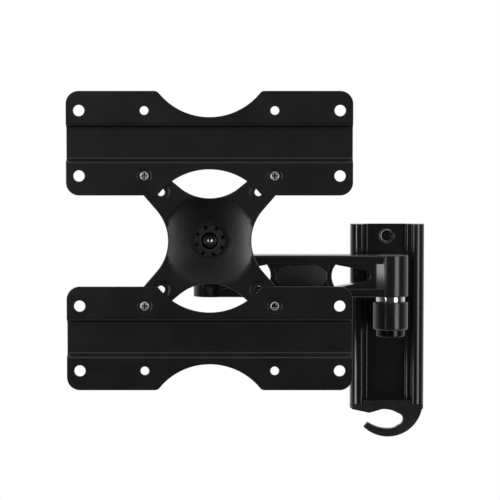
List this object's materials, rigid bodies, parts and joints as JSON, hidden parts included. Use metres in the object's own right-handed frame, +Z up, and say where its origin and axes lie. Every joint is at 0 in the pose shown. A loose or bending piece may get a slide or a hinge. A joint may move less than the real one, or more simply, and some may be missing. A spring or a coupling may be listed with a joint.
{
  "type": "full motion tv wall mount",
  "caption": "Full motion television wall mount: wall column with cable hook, one swivel arm, panning head with ball joint, X plate and two bolt-on wings.",
  "frame": {"origin": "middle of the two wall holes, on the wall face of the column", "axes": "+Z up, +X along the wall to the right, +Y into the wall, so the television is on the -Y side"},
  "size_m": [0.2832, 0.0994, 0.279],
  "materials": {
    "powder_black": "satin black powder coat on sheet steel",
    "gloss_black": "gloss black coat on extruded aluminium",
    "cast_black": "semi-gloss black coat on die-cast aluminium",
    "black_steel": "blackened steel",
    "black_plastic": "moulded black nylon",
    "chrome": "polished chrome",
    "zinc": "bright zinc plate",
    "acetal": "natural acetal"
  },
  "bodies": {
    "wall": {"wall_column": "gloss_black", "wall_hole_plugs": "black_plastic", "cable_hook": "black_plastic", "cable_hook_screws": "black_steel", "wall_hinge_block": "cast_black", "hinge_block_screws": "zinc", "wall_pivot_bolt": "black_steel", "wall_thrust_ring": "chrome", "wall_pivot_washer": "zinc", "wall_pivot_nut": "zinc"},
    "swing_arm": {"arm": "cast_black", "wall_bush_lower": "acetal", "wall_bush_upper": "acetal", "head_bush_lower": "acetal", "head_bush_upper": "acetal", "wall_knuckle_cap": "black_plastic", "head_knuckle_cap": "black_plastic"},
    "head": {"head_block": "cast_black", "head_pivot_bolt": "black_steel", "head_thrust_ring": "chrome", "head_pivot_washer": "zinc", "head_pivot_nut": "zinc", "ball_stud": "chrome", "stud_nut": "zinc"},
    "ball_cup": {"rear_liner": "acetal"},
    "ball_seat": {"front_liner": "acetal"},
    "plate": {"vesa_plate": "powder_black", "ball_housing": "cast_black", "ring_nut": "black_steel", "wing_top": "powder_black", "wing_bottom": "powder_black", "wing_screws": "zinc", "wing_washers": "zinc", "wing_nuts": "zinc"}
  },
  "joints": [
    {"name": "wall_swivel", "type": "hinge", "parent": "wall", "child": "swing_arm", "pos_m": [0, -0.044, -0.0102], "axis": [0, 0, 1], "range_deg": [0, 150]},
    {"name": "head_pan", "type": "hinge", "parent": "swing_arm", "child": "head", "pos_m": [-0.1432, -0.044, 0], "axis": [0, 0, 1], "range_deg": [-90, 0]},
    {"name": "ball_swivel", "type": "hinge", "parent": "head", "child": "ball_cup", "pos_m": [-0.1432, -0.08, 0.0198], "axis": [0, 0, 1], "range_deg": [-10, 10]},
    {"name": "ball_tilt", "type": "hinge", "parent": "ball_cup", "child": "ball_seat", "pos_m": [-0.1432, -0.08, 0.0198], "axis": [1, 0, 0], "range_deg": [-15, 15]},
    {"name": "plate_roll", "type": "hinge", "parent": "ball_seat", "child": "plate", "pos_m": [-0.1432, -0.08, 0.0198], "axis": [0, 1, 0], "range_deg": [-10, 10]}
  ]
}
